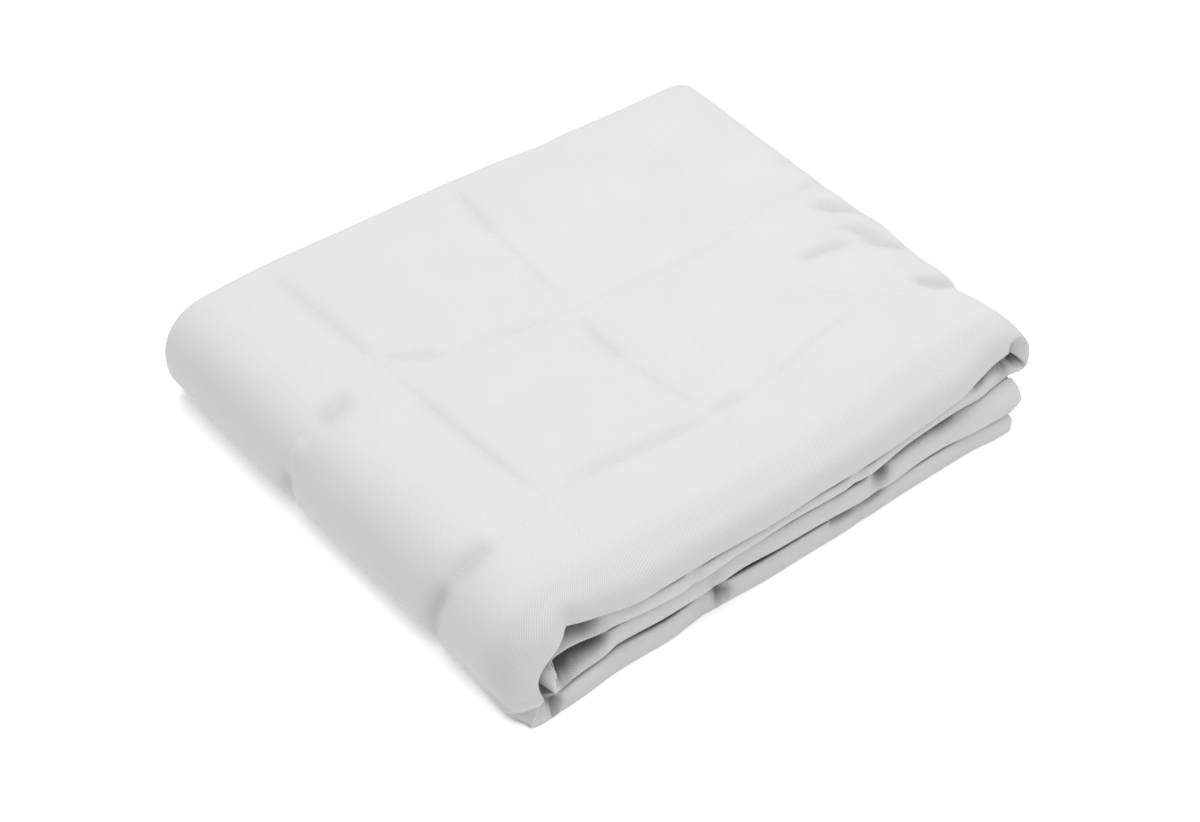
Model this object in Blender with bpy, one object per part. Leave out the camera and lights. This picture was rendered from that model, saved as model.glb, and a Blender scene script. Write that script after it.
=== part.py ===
"""Weighted blanket, quilted in square pockets and folded to a flat stack.

The cloth is folded in three across its width, then in half and in half again
along its length, so the stack is four packets of three plies.  It is one sheet,
so it is one closed solid: a grid of points across the folded width and along
the folded length, once for each face of the cloth, joined at its hems.

While it is shaped, x runs along the front of the stack, y to its back and z up.
Metres; the finished part stands on z = 0 about the middle of its own box.
"""
import math
from collections import namedtuple

import bmesh
import bpy
import numpy as np

# Cloth and stack
PLY = 0.0057                # quilted cloth with its beads
PLY_GAP = 0.0006            # air between the plies of one packet
PACKET_GAP = 0.0009         # air between two packets
PACKET = 3 * PLY + 2 * PLY_GAP
LEVEL = PACKET + PACKET_GAP
STACK = 4 * LEVEL - PACKET_GAP
DEPTH = 0.400               # front edge to back edge of a packet as it is drawn up here

# Quilting
ROWS = (0.088, 0.232)       # sewn lines along the length, from the front edge
COLUMNS = (0.087, 0.220, 0.368)     # sewn lines across the top packet
PILLOW = 0.0016             # rise of a pocket between its seams
PILLOW_REACH = 0.050        # from a seam to where the pocket is full
GROOVE = 0.0014             # depth of a sewn line below the cloth
GROOVE_HALF = 0.008         # from a seam's middle to the foot of its slope
HEM = 0.0040                # cloth at its sewn outer edge
HEM_LENGTH = 0.010          # length over which it thins to that

# Edges of a packet
NOSE = 0.014                # depth of the rounded front edge
DROOP = 0.0045              # how far its lower half stands out beyond its upper
DROOP_REACH = 0.030         # this dies away over this distance
SINK = 0.0040               # how far its middle sinks, which makes the lip crisp
TUCK_SHORT = 0.011          # the tucked plies stop this far short of the folds

# The four runs of the length in the order the cloth takes them.  Level counts
# the packets from below, up is the side of the cloth's outer face, between is
# the number of points from seam to seam, and pucker is how far the end of a
# seam pulls in the front edge.
Run = namedtuple("Run", "name level up start end seams between pucker")
RUNS = (
    Run("bottom", 0, -1, 0.432, 0.026, (0.302, 0.155), 1, 0.0030),
    Run("top", 3, 1, 0.046, 0.436, COLUMNS, 2, 0.0006),
    Run("second", 2, -1, 0.436, 0.045, (0.286, 0.146), 1, 0.0020),
    Run("third", 1, 1, 0.045, 0.439, (0.166, 0.305), 1, 0.0020),
)

# The folds between them: the tips (x, z) of the packet's outer and tucked faces,
# the eye that a tight face leaves open, the front edge at the tip, and its points.
Fold = namedtuple("Fold", "outer_tip tuck_tip outer_eye tuck_eye front pillow points")
FOLDS = (
    Fold((0.000, 0.028), (0.0175, 0.035), 0.0, 0.0, -0.001, 1.0, 9),
    Fold((0.460, 3 * LEVEL), (0.4425, 3 * LEVEL), 0.0, 0.001, 0.024, 0.0, 5),
    Fold((0.0365, 2 * LEVEL), (0.0195, 2 * LEVEL), 0.001, 0.0, 0.002, 0.0, 5),
)
ROUNDNESS = 2.2             # 2 turns a fold as an ellipse, more makes it fuller

# Where the edges and the sewn rows of each run lie, as y at stations along x.
Line = namedtuple("Line", "run x front first second back")
LINES = (
    Line("bottom", 0.026, -0.0105, 0.086, 0.240, 0.396),
    Line("bottom", 0.045, -0.0035, 0.087, 0.236, 0.396),
    Line("bottom", 0.066, -0.0040, 0.088, 0.232, 0.397),
    Line("bottom", 0.101, -0.0020, 0.088, 0.232, 0.397),
    Line("bottom", 0.150, 0.0035, 0.088, 0.232, 0.397),
    Line("bottom", 0.201, -0.0015, 0.088, 0.232, 0.397),
    Line("bottom", 0.326, 0.0015, 0.088, 0.232, 0.395),
    Line("bottom", 0.414, 0.0020, 0.088, 0.232, 0.393),
    Line("bottom", 0.432, 0.0080, 0.090, 0.232, 0.390),
    Line("top", 0.046, 0.0075, 0.079, 0.246, 0.397),
    Line("top", 0.071, 0.0016, 0.083, 0.257, 0.398),
    Line("top", 0.092, -0.0022, 0.088, 0.259, 0.398),
    Line("top", 0.120, -0.0036, 0.091, 0.242, 0.398),
    Line("top", 0.162, -0.0048, 0.088, 0.234, 0.398),
    Line("top", 0.215, -0.0052, 0.085, 0.226, 0.397),
    Line("top", 0.285, -0.0022, 0.093, 0.224, 0.397),
    Line("top", 0.330, 0.0006, 0.103, 0.222, 0.395),
    Line("top", 0.370, 0.0072, 0.108, 0.223, 0.391),
    Line("top", 0.402, 0.0113, 0.102, 0.233, 0.393),
    Line("top", 0.436, 0.0175, 0.090, 0.233, 0.395),
    Line("second", 0.045, 0.0000, 0.088, 0.232, 0.394),
    Line("second", 0.083, -0.0020, 0.088, 0.232, 0.395),
    Line("second", 0.146, 0.0020, 0.088, 0.232, 0.396),
    Line("second", 0.201, 0.0032, 0.088, 0.232, 0.396),
    Line("second", 0.263, 0.0048, 0.088, 0.232, 0.394),
    Line("second", 0.329, 0.0095, 0.090, 0.232, 0.392),
    Line("second", 0.436, 0.0180, 0.092, 0.232, 0.388),
    Line("third", 0.045, -0.0010, 0.088, 0.232, 0.394),
    Line("third", 0.100, 0.0013, 0.088, 0.232, 0.395),
    Line("third", 0.166, 0.0024, 0.088, 0.232, 0.396),
    Line("third", 0.258, 0.0010, 0.088, 0.232, 0.394),
    Line("third", 0.322, 0.0035, 0.088, 0.232, 0.392),
    Line("third", 0.414, 0.0000, 0.088, 0.232, 0.390),
    Line("third", 0.429, 0.0030, 0.088, 0.232, 0.389),
    Line("third", 0.439, 0.0090, 0.090, 0.232, 0.388),
)

# How far the sewn columns stray in x from front to back.
Stray = namedtuple("Stray", "y a b c")
STRAYS = (
    Stray(0.000, -0.001, 0.000, -0.004),
    Stray(0.040, 0.002, 0.004, 0.008),
    Stray(0.085, 0.005, 0.008, 0.018),
    Stray(0.110, 0.004, 0.001, 0.018),
    Stray(0.137, 0.002, -0.004, -0.001),
    Stray(0.180, 0.000, -0.008, -0.010),
    Stray(0.222, 0.000, -0.005, -0.010),
    Stray(0.275, -0.001, -0.001, 0.000),
    Stray(0.330, -0.002, 0.002, 0.007),
    Stray(0.392, -0.004, 0.009, 0.011),
)
STRAY_ENDS = (0.040, 0.440)     # nothing strays beyond these

# The side folds from front to back: how far the left one moves, how far its top
# leans in, and how far the right one moves.
Side = namedtuple("Side", "y left lean right")
SIDES = (
    Side(0.000, 0.004, 0.0050, 0.006),
    Side(0.045, 0.002, 0.0045, 0.005),
    Side(0.088, -0.001, 0.0030, 0.000),
    Side(0.136, -0.003, 0.0025, 0.003),
    Side(0.232, -0.008, 0.0000, 0.001),
    Side(0.328, -0.012, -0.0030, 0.001),
    Side(0.400, -0.014, -0.0050, 0.003),
)
LEFT_REACH = (0.040, 0.170)     # all of it up to the first x, none from the second
LEAN_HEIGHT = 0.028             # height that the lean leaves where it is
RIGHT_REACH = (0.370, 0.440)    # none of it up to the first x, all from the second

# The stack is lower along its edges: fall, and the reach over which it falls.
FRONT_FALL = (0.0025, 0.045)
BACK_FALL = (0.0015, 0.050)
END_FALL = (0.0018, 0.060)

# The right-hand fold overhangs the packets below it, and sags past the first x.
SAG = 0.008
SAG_FROM, SAG_FULL = 0.438, 0.460
SAG_HEIGHTS = (1.5 * LEVEL, 2 * LEVEL, 3 * LEVEL, STACK)
SAG_SHARES = (0.0, 1.0, 1.0, 0.35)

NAME = "folded_blanket"
COLOUR = (0.78, 0.78, 0.80, 1.0)
ROUGHNESS = 0.85

Point = namedtuple("Point", "y n normal_y normal_n thick shown")
Rib = namedtuple("Rib", "outer tuck lines seam pucker thick pillow")


def smooth(value):
    """Zero up to 0, one from 1, and an even ease between."""
    value = np.clip(value, 0.0, 1.0)
    return value * value * (3.0 - 2.0 * value)


def section():
    """The line that the middle of the cloth takes across one packet.

    Its points have y, the height n above the tucked face, the normal towards
    the cloth's outer face, the cloth's thickness, and 1 on the ply that shows.
    The line runs from the hem of a tucked ply to the front, round the nose, back
    along the ply that shows, round the back fold and forward to the other hem.
    """
    half = PLY / 2
    low, middle, high = half, PACKET / 2, PACKET - half
    back_radius = (PLY + PLY_GAP) / 2
    back_start = DEPTH - half - back_radius
    hem_back, hem_front = DEPTH - TUCK_SHORT, NOSE
    tucked = (0.328, 0.232, 0.136, 0.088, 0.045)

    line = [Point(hem_back, low, 0, -1, HEM, 0)]
    for y in (hem_back - HEM_LENGTH,) + tucked + (NOSE,):
        line.append(Point(y, low, 0, -1, PLY, 0))
    for angle in np.radians((-60, -30, 0, 30, 60)):
        c, s = math.cos(angle), math.sin(angle)
        line.append(Point(NOSE - (NOSE - half) * c, middle + (middle - half) * s, -c, s, PLY, 0))
    shown = [NOSE, 0.045]
    for row in ROWS:
        shown += [row - GROOVE_HALF, row, row + GROOVE_HALF, row + 0.048, row + 0.096]
    for y in shown + [back_start]:
        line.append(Point(y, high, 0, 1, PLY, 1))
    for angle in np.radians((45, 0, -45)):
        c, s = math.cos(angle), math.sin(angle)
        line.append(Point(back_start + back_radius * c, high - back_radius * (1 - s), c, s, PLY, 0))
    for y in (back_start,) + tucked + (hem_front + HEM_LENGTH,):
        line.append(Point(y, middle, 0, -1, PLY, 0))
    line.append(Point(hem_front, middle, 0, -1, HEM, 0))
    return line


def run_places(run):
    """x of the ribs along a run: three at each seam and some from seam to seam."""
    step = math.copysign(GROOVE_HALF, run.end - run.start)
    places = [run.start]
    for seam in run.seams:
        places += list(np.linspace(places[-1], seam - step, run.between + 2)[1:])
        places += [seam, seam + step]
    places += list(np.linspace(places[-1], run.end, run.between + 2)[1:])
    if run is RUNS[0]:
        places.insert(1, run.start - HEM_LENGTH)
    if run is RUNS[-1]:
        places.insert(-1, run.end - HEM_LENGTH)
    return places


def run_ribs(run):
    """Ribs of one packet, which join its outer face to its tucked face."""
    low, high = run.level * LEVEL, run.level * LEVEL + PACKET
    outer_z, tuck_z = (high, low) if run.up > 0 else (low, high)
    rows = np.array([line[1:] for line in LINES if line.run == run.name])
    free_end = {RUNS[0]: RUNS[0].start, RUNS[-1]: RUNS[-1].end}.get(run)
    ribs = []
    for x in run_places(run):
        lines = np.array([np.interp(x, rows[:, 0], column) for column in rows[:, 1:].T])
        nearest = min(abs(x - seam) for seam in run.seams)
        seam = max(0.0, 1 - nearest / GROOVE_HALF)
        ribs.append(Rib((x, outer_z), (x, tuck_z), lines, seam, seam * run.pucker,
                        HEM if x == free_end else PLY,
                        smooth(nearest / PILLOW_REACH) if run.name == "top" else 0.0))
    return ribs


def turn(start, tip, end, eye, share):
    """A point of a fold's outline from start over its tip to end.

    Two quarters of a rounded curve meet at the tip.  The eye swells each of
    them halfway between the tip and its end.
    """
    angle = math.pi * (share - 0.5)
    base = start if angle < 0 else end
    c = math.cos(angle) ** (2 / ROUNDNESS)
    s = abs(math.sin(angle)) ** (2 / ROUNDNESS)
    swell = math.copysign(2 * eye * c * s, base[1] - tip[1])
    return base[0] + (tip[0] - base[0]) * c, tip[1] + (base[1] - tip[1]) * s + swell


def fold_ribs(fold, before, after):
    """Ribs of a fold, between the last rib of one run and the first of the next."""
    ribs = []
    for number in range(1, fold.points + 1):
        share = number / (fold.points + 1)
        lines = before.lines + (after.lines - before.lines) * share
        bow = 1 - (2 * share - 1) ** 2
        lines[0] += (fold.front - (before.lines[0] + after.lines[0]) / 2) * bow
        ribs.append(Rib(turn(before.outer, fold.outer_tip, after.outer, fold.outer_eye, share),
                        turn(before.tuck, fold.tuck_tip, after.tuck, fold.tuck_eye, share),
                        lines, 0.0, 0.0, PLY, fold.pillow))
    return ribs


def all_ribs():
    """Every rib of the cloth's length, from one free end to the other."""
    runs = [run_ribs(run) for run in RUNS]
    ribs = list(runs[0])
    for fold, run in zip(FOLDS, runs[1:]):
        ribs += fold_ribs(fold, ribs[-1], run[0]) + run
    return ribs


def settle(x, y, z):
    """The lie of the whole stack: stray seams, side folds, falls and sag.

    Nothing reaches below the surface that the stack lies on, which is at z = 0.
    """
    stray_y, *strays = zip(*STRAYS)
    knots = (STRAY_ENDS[0],) + COLUMNS + (STRAY_ENDS[1],)
    moves = [np.zeros_like(y)] + [np.interp(y, stray_y, stray) for stray in strays]
    moves.append(np.zeros_like(y))
    strayed = x.copy()
    for left, right, move, next_move in zip(knots, knots[1:], moves, moves[1:]):
        inside = (x >= left) & (x < right)
        share = (x - left) / (right - left)
        strayed += np.where(inside, move + (next_move - move) * share, 0.0)

    side_y, left, lean, right = zip(*SIDES)
    weight = 1 - smooth((x - LEFT_REACH[0]) / (LEFT_REACH[1] - LEFT_REACH[0]))
    leaned = np.interp(y, side_y, lean) * (z - LEAN_HEIGHT) / (STACK - LEAN_HEIGHT)
    strayed += weight * (np.interp(y, side_y, left) + leaned)
    weight = smooth((x - RIGHT_REACH[0]) / (RIGHT_REACH[1] - RIGHT_REACH[0]))
    strayed += weight * np.interp(y, side_y, right)

    right_end = FOLDS[1].outer_tip[0]
    fall = FRONT_FALL[0] * (1 - smooth(y / FRONT_FALL[1]))
    fall += BACK_FALL[0] * (1 - smooth((DEPTH - y) / BACK_FALL[1]))
    fall += END_FALL[0] * (1 - smooth((right_end - x) / END_FALL[1]))
    sag = SAG * smooth((x - SAG_FROM) / (SAG_FULL - SAG_FROM))
    sunk = sag * np.interp(z, SAG_HEIGHTS, SAG_SHARES)
    return strayed, y, np.maximum(z * (1 - fall / STACK) - sunk, 0.0)


def cloth_grid():
    """Points of both faces of the cloth: one row for each rib, face by face."""
    line = section()
    y, n, normal_y, normal_n, thick, shown = np.array(line, dtype=float).T
    ribs = all_ribs()
    outer = np.array([rib.outer for rib in ribs])
    tuck = np.array([rib.tuck for rib in ribs])
    lines = np.array([rib.lines for rib in ribs])
    seam = np.array([rib.seam for rib in ribs])[:, None]
    pucker = np.array([rib.pucker for rib in ribs])[:, None]
    thin = np.array([rib.thick for rib in ribs])[:, None] / PLY
    pillow = np.array([rib.pillow for rib in ribs])[:, None]

    to_row = np.min([abs(y - row) for row in ROWS], axis=0)
    to_edge = np.minimum(y, DEPTH - y)
    crown = smooth(np.minimum(to_row, to_edge) / PILLOW_REACH) * shown
    groove = np.maximum(seam, np.clip(1 - to_row / GROOVE_HALF, 0, 1) * shown)
    relief = PILLOW * pillow * crown - GROOVE * groove
    up = (outer - tuck)[:, 1:] / PACKET

    faces = []
    for side in (0.5, -0.5):
        offset = side * thick * thin + (relief if side > 0 else 0.0)
        across = y + normal_y * offset
        height = n + normal_n * offset
        share = height / PACKET
        sunk = (1 - smooth(across / NOSE)) * up * 4 * share * (1 - share)
        near_front = 1 - smooth((across - NOSE) / DROOP_REACH)
        across = across + near_front * (DROOP * up * (2 * share - 1) + pucker)
        share = share - sunk * SINK / PACKET
        placed = np.empty_like(across)
        for number, row in enumerate(across):
            placed[number] = stretch(row, lines[number])
        x = tuck[:, :1] + (outer - tuck)[:, :1] * share
        z = tuck[:, 1:] + (outer - tuck)[:, 1:] * share
        faces.append(np.stack(settle(x, placed, z), axis=-1))
    return faces


def stretch(y, lines):
    """Take y from the drawn-up packet to its lines, and on past its edges."""
    drawn = np.array((0.0,) + ROWS + (DEPTH,))
    inside = np.interp(y, drawn, lines)
    return inside + np.minimum(y, 0.0) + np.maximum(y - DEPTH, 0.0)


def build_mesh():
    """One closed mesh from the two faces, joined at the four hems."""
    outer_face, tucked_face = cloth_grid()
    ribs, count = outer_face.shape[:2]
    loops = np.concatenate((outer_face, tucked_face[:, ::-1]), axis=1)
    points = loops.reshape(-1, 3)
    points = points - [(points[:, 0].min() + points[:, 0].max()) / 2,
                       (points[:, 1].min() + points[:, 1].max()) / 2, points[:, 2].min()]

    ring = 2 * count
    quads = []
    for rib in range(ribs - 1):
        for place in range(ring):
            beside = (place + 1) % ring
            quads.append((rib * ring + place, rib * ring + beside,
                          (rib + 1) * ring + beside, (rib + 1) * ring + place))
    for rib in (0, ribs - 1):
        for place in range(count - 1):
            quads.append((rib * ring + place, rib * ring + place + 1,
                          rib * ring + ring - 2 - place, rib * ring + ring - 1 - place))
    mesh = bpy.data.meshes.new(NAME)
    mesh.from_pydata(points.tolist(), [], quads)

    shape = bmesh.new()
    shape.from_mesh(mesh)
    bmesh.ops.recalc_face_normals(shape, faces=shape.faces)
    bmesh.ops.triangulate(shape, faces=shape.faces)
    shape.to_mesh(mesh)
    shape.free()
    mesh.shade_smooth()
    mesh.set_sharp_from_angle(angle=math.radians(50))
    return mesh


def cloth_material():
    """Pale grey brushed twill."""
    material = bpy.data.materials.new("pale_grey_cloth")
    material.use_nodes = True
    shader = material.node_tree.nodes["Principled BSDF"]
    shader.inputs["Base Color"].default_value = COLOUR
    shader.inputs["Roughness"].default_value = ROUGHNESS
    shader.inputs["Metallic"].default_value = 0.0
    return material


def main():
    """Clear the scene and build the blanket."""
    for old in list(bpy.data.objects):
        bpy.data.objects.remove(old, do_unlink=True)
    blanket = bpy.data.objects.new(NAME, build_mesh())
    blanket.data.materials.append(cloth_material())
    bpy.context.scene.collection.objects.link(blanket)


main()
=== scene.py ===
"""Quilted weighted blanket, folded to a flat stack: the finished cloth, its sewing and its stage.

The cloth is one sheet.  Its length lies along ribs and its width along the section of
a packet, and every point is worked out from those two.  Metres, unless said otherwise.
"""
import math
from collections import namedtuple
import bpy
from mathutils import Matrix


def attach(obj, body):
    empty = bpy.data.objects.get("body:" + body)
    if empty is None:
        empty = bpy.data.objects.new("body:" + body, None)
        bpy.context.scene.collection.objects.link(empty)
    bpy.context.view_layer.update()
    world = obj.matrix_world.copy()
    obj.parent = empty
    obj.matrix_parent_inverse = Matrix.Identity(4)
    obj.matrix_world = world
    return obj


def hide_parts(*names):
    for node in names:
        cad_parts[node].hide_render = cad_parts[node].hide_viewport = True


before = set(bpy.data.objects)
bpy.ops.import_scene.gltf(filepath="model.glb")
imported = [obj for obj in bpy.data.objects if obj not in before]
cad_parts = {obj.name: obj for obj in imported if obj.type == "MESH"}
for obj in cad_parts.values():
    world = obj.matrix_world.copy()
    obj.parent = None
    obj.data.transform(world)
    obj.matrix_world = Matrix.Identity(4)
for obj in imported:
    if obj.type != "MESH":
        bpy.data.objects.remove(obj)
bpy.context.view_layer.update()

from types import SimpleNamespace

import bpy
import numpy as np
from mathutils import Matrix

bl_info = {
    "name": "Folded quilted blanket",
    "version": (1, 0, 0),
    "blender": (4, 5, 0),
    "location": "3D View > Sidebar > Blanket",
    "description": "Builds the folded cloth, its stitches and a plain studio around it",
    "category": "Object",
}

CAD_NODE = "folded_blanket"
MM = 1000  # a table in millimetres is divided by this where it is read

# ---------- how it is folded

ORIGIN = np.array((0.22571, 0.19356, 0.0))  # of the part, in the frame it is drawn up in

PLY_GAP = 0.0006  # air between the plies of one packet
PACKET_GAP = 0.0009  # air between two packets
DEPTH = 0.4  # front edge to back edge of a packet as it is drawn up here
ROWS = (0.088, 0.232)  # sewn lines along the length, from the front edge
COLUMNS = (0.087, 0.22, 0.368)  # sewn lines across the top packet
HEM = 0.004  # cloth at its sewn outer edge
HEM_LENGTH = 0.01  # length over which it thins to that
HEM_ROUND = 0.0018  # the last of it, which is rounded off
HEM_END = 0.25  # share of the hem that is left at its very end
TUCK_SHORT = 0.011  # the tucked plies stop this far short of the back fold
NOSE = 0.014  # depth of the rounded front edge
NOSE_PLY = 0.0045  # cloth round that edge
DROOP_REACH = 0.03  # the lean of the front edge dies away over this distance
POCKET_EASE = 0.05  # and the pockets' rise comes over this one
FURROW_SHADE_REACH = 0.03  # painted shade in the twill's furrows, full at the nose, is gone this far behind it
FAR = 1.0  # distance to a thing that isn't there

# The four runs of the length, in order.  Level counts the packets from below, up is the
# side of the cloth's outer face, and pull is how far a seam's end draws in the front edge.
Run = namedtuple("Run", "name level up start end seams ribs pull")
RUNS = (
    Run("bottom", 0, -1, 0.432, 0.026, (0.29, 0.155), 84, 0.002),
    Run("top", 3, 1, 0.046, 0.436, COLUMNS, 150, 0.0006),
    Run("second", 2, -1, 0.436, 0.045, (0.286, 0.146), 84, 0.0035),
    Run("third", 1, 1, 0.045, 0.440, (0.166, 0.305), 84, 0.0035),
)
PULL_ALL = 0.3  # share of that pull that the whole edge follows

# The folds between them.  The outer and the tucked face each have a tip (x, and z in
# levels), a fullness from there to the packet above (2 is an ellipse, more is squarer) and
# the eye that a tight face leaves open.  Pillow is the way a pocket's rise changes.
Fold = namedtuple("Fold", "outer tuck pillow ribs")
FOLDS = (
    Fold((0.0, 1.458, 2.2, 0.0), (0.0175, 1.823, 1.45, 0.0), 1, 44),
    Fold((0.4585, 3.0, 2.7, 0.0), (0.441, 3.0, 2.2, 0.001), -1, 34),
    Fold((0.0315, 2.0, 2.2, 0.001), (0.0185, 2.0, 1.55, 0.0), 0, 34),
)
ROUNDNESS = 2.2  # fullness of a fold from its tip to the packet below
PILLOW_IN, PILLOW_OUT = 1 / 1.6, 0.4  # share of a fold over which it comes or goes
# Where each fold's front lip lies: y in millimetres at shares of the way round it.
FOLD_FRONTS = (
    ((0.06, -5.2), (0.15, -2), (0.25, -4.8), (0.36, -5), (0.43, -2.5), (0.5, -1), (0.62, 1.7),
     (0.69, 2.6), (0.76, 3.1), (0.82, 4.1), (0.89, 7.1), (0.95, 10.8)),
    ((0.1, 24.5), (0.2, 26.5), (0.3, 25), (0.4, 23.5), (0.5, 22.5), (0.65, 21.5), (0.8, 21.5)),
    ((0.3, 6), (0.5, 1), (0.65, -4), (0.76, -5), (0.88, -1)),
)

# Where the lip of each run's front edge lies: y at places along x, in millimetres.
FRONTS = {
    "bottom": (
        (26, -5.5), (35, -4.6), (45, -4.1), (55, -3.5), (66, -2.2), (80, -0.7), (101, -0.3),
        (125, -0.6), (150, 2.3), (175, 2.6), (201, 1.6), (240, 2.3), (280, 2.8), (326, 5.2),
        (370, 6.3), (400, 6.5), (414, 5), (424, 4.9), (432, 5)),
    "top": (
        (46, 12.3), (56, 9.1), (71, 5.9), (92, 1.6), (120, 1.7), (162, 2.6), (215, 2.3),
        (250, 4.3), (285, 5.2), (310, 6.6), (330, 8.5), (350, 10.2), (370, 11.3), (386, 13),
        (402, 17.7), (420, 21.8), (436, 21.9)),
    "second": (
        (45, 7.4), (55, 7.4), (70, 5.9), (83, 6), (105, 4.2), (125, 3.3), (146, 3.4), (170, 5.2),
        (201, 7.2), (230, 8.3), (263, 7.7), (296, 8.2), (329, 13.5), (355, 15.7), (375, 16.8),
        (390, 17.1), (405, 16.8), (420, 19.4), (436, 21.9)),
    "third": (
        (45, 1.3), (58, 1.8), (72, 2.6), (85, 5.3), (100, 5.2), (120, 4.3), (144, 4.7), (166, 5.1),
        (190, 7.1), (220, 5.9), (258, 5.8), (290, 4.8), (322, 5.9), (345, 8.4), (370, 9),
        (395, 6.9), (414, 6.3), (429, 6.1), (439, 6.1)),
}
# The same for each run's back edge, and for the two sewn rows of the top packet.
BACKS = {
    "bottom": ((26, 396), (200, 397), (432, 390)),
    "top": (
        (46, 397), (86, 400.3), (154, 400.2), (215, 400), (274, 397.5), (301, 394.8), (325, 395.7),
        (370, 394.2), (436, 395)),
    "second": ((45, 394), (146, 396), (436, 388)),
    "third": ((45, 394), (166, 396), (439, 388)),
}
TOP_ROWS = (
    ((46, 79), (71, 83), (92, 88), (120, 91), (162, 88), (215, 85), (285, 93), (330, 103),
     (370, 108), (402, 102), (436, 90)),
    ((46, 246), (71, 257), (92, 259), (120, 242), (162, 234), (215, 226), (285, 224), (330, 222),
     (370, 223), (402, 233), (436, 233)),
)

# The crisp lip of the front edge: its station, a place in the order of runs and folds (0 to
# 1 is the bottom run, 1 to 2 the fold after it, and so on), its side (1 the tucked one, -1
# the outer one), droop (how far it stands out), far and near (the edge's fullness on its
# long and its short side), hollow (how far the long side is pushed in) and rim (how far
# that dips behind its corner).  Droop, hollow and rim are in millimetres.
Lip = namedtuple("Lip", "side droop far near hollow rim")
LIPS = (
    (0, -1, 1.6, 5.5, 2.2, 0, 3.5), (0.74, -1, 1.6, 5.5, 2.2, 0, 3.5),
    (0.85, -1, 1.6, 4.5, 2.2, 0, 1.5), (0.96, -1, 1, 4, 2, 2, 2), (1.09, -1, 2, 2, 1.6, 0, 0),
    (1.2, 1, 3, 2, 1.6, 0, 0), (1.4, 1, 3, 2.8, 2.2, 0, 0), (2, 1, 1.5, 3.1, 2, 0, 0),
    (2.935, 1, 1.5, 2.9, 1.8, 0, 0), (3, 0.4, 4.5, 2, 1.6, 3, 0), (3.12, -0.8, 4.5, 2, 1.6, 4, 0),
    (3.3, -1, 4, 2, 1.8, 2, 0), (3.8, -1, 2.5, 2.6, 2, 1, 1.5), (4, -1, 1.2, 5, 2.2, 1, 3),
    (4.15, -1, 1.4, 5.5, 2.2, -3.5, 3.5), (4.3, -1, 1.4, 5.5, 2.2, -5, 4),
    (4.6, -1, 1.4, 5.5, 2.2, -5.5, 4), (4.75, -1, 1.4, 5.5, 2.2, -3.5, 3.5),
    (4.87, -1, 1.4, 5, 2.2, -3, 3.5), (4.94, -0.8, 1, 4, 2.2, 4, 3), (5, -0.6, 2, 2.4, 2, 6, 1.5),
    (5.3, -0.6, 3, 2, 1.8, 4, 0), (5.58, -0.7, 3, 1.8, 1.6, 0, 0), (5.76, 0.9, 2, 1.8, 1.6, 2, 0),
    (5.9, 1, 1, 2.4, 1.8, 4, 1), (6.05, 1, 1, 4, 2.2, 1, 3), (6.1, 1, 1.4, 5, 2.2, -1, 4),
    (6.2, 1, 1.4, 5.5, 2.2, 0, 3.5), (6.6, 1, 1.4, 5.5, 2.2, 0, 3), (6.7, 1, 1.4, 4, 2.2, 0, 1),
    (6.8, 1, 1.4, 3.6, 2.2, 0, 1), (6.9, 1, 1.4, 2.8, 2.2, 0, 0), (7, 1, 1.4, 2.8, 2.2, 0, 0),
)
LIP_OFF = 0.06  # share of the packet's height between the lip and that side
RIM_START, RIM_END = 0.0015, 0.0135  # the dip behind the rim lies between these depths
RIM_RISE = (0.5, 0.4)  # share of the height where it starts, and over which it comes
HOLLOW_RISE = 0.4  # share of the height over which the push grows
HOLLOW_REACH = 0.045  # and it dies away over this distance behind the lip

# Painted shade between the front edges, put into the cloth's colour: how dark it is there.  A pair
# is where the painted shade starts and over how much it comes, in depth behind the lip or as a
# share of the height.
SLOT_DEPTH, SLOT_RISE = (RIM_START, 0.004), (0.6, 0.2)  # behind a rim
SLOT_RIM = 0.003  # that is as deep as this
UNDER_DEPTH, UNDER_TOP = (0.0006, 0.002), 0.98 * LIP_OFF  # under a lip
SLIT_DEPTH, SLIT_RISE = (0.005, 0.003), (0.93, 0.05)  # high in the right-hand fold
BARE, SLIT = (3.0, 4.0), (3.1, 3.9)  # stations of that fold, and of its slit
DENT_SHADE_DEPTH = 0.0065  # painted shade inside a dent is full from this depth on
CREASE_DEPTH, CREASE_SHADE_MAX = 0.018, 0.17  # painted shade in a crease grows with its depth, up to a share

# How the packets press each other at the front, in millimetres: a place along x, and how
# far the tops of the first, the second and the third packet move in z there.
PRESSES = (
    (20, 0, 0, 0), (36, -4, 0, 0), (52, -1.5, 0, 0), (75, 0, 0, -0.5), (100, 0, -0.5, -1),
    (150, 0, -1, -1.5), (200, 0, 0, -2), (250, 0, 0, -2.4), (300, 0, 0, -3), (350, 0, 0, -3.4),
    (390, 0, 0, -0.5), (425, 0, 0, 0),
)
PRESS_REACH = 0.04  # it dies away over this distance from the front

# Where a run's front is pushed in: the run, and in millimetres the x and z of a line's
# start and of its end, the dent's width and its depth.
DENTS = (
    (2, 44, 54.5, 61, 53, 6, 22), (3, 44, 33, 68, 35, 6, 22), (3, 44, 33, 40, 26, 5, 18),
    (0, 169, 15.5, 172, 8, 4.8, 8), (3, 311, 35, 311, 31, 5, 9),
    (0, 270, 16.5, 290, 16.5, 3.5, 10), (0, 298, 16.5, 308, 16.5, 3.5, 9),
    (3, 362, 37, 375, 37.2, 2, 12), (2, 403, 55.5, 409, 55.5, 3.5, 12),
    (2, 418, 56, 430, 52, 4, 6), (0, 28.5, 13, 32.5, 2, 2.6, 14), (1.5, 434, 49, 446, 50, 2.8, 16),
    (1.5, 446, 50, 458, 47.5, 1.6, 13),
)
DENT_REACH = 0.1  # a dent dies away over this distance from the front
DENT_FADE = 0.4  # and over this share of the fold beside its run
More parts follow.
